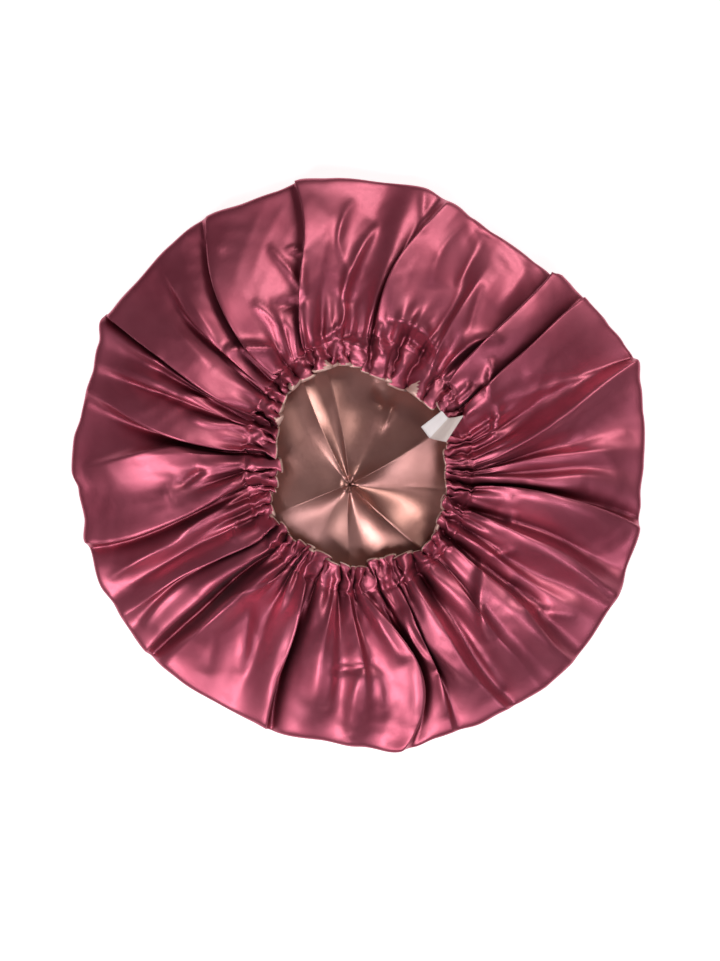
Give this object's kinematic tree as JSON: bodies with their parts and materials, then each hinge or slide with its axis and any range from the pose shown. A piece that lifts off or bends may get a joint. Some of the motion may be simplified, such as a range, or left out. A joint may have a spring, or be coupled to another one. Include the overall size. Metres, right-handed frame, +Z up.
{
  "type": "sleep bonnet",
  "caption": "Satin sleep bonnet lying on its crown, with a pleated puffed rim, a gathered elastic mouth facing up, a satin lining and a plain label.",
  "frame": {"origin": "the middle of the crown's underside, on the surface that the bonnet lies on", "axes": "+Z up, out of the mouth; +Y along the mouth's longer axis, the picture's up; +X to the picture's right"},
  "size_m": [0.3789, 0.379, 0.043],
  "materials": {
    "rose_satin": "glossy satin weave",
    "champagne_satin": "glossy satin weave",
    "white_rib": "matt ribbed elastic",
    "white_tape": "woven tape"
  },
  "bodies": {
    "root": {"outer_shell": "rose_satin", "lining": "champagne_satin", "elastic_casing": "rose_satin", "elastic_band": "white_rib", "care_label": "white_tape"}
  },
  "joints": []
}
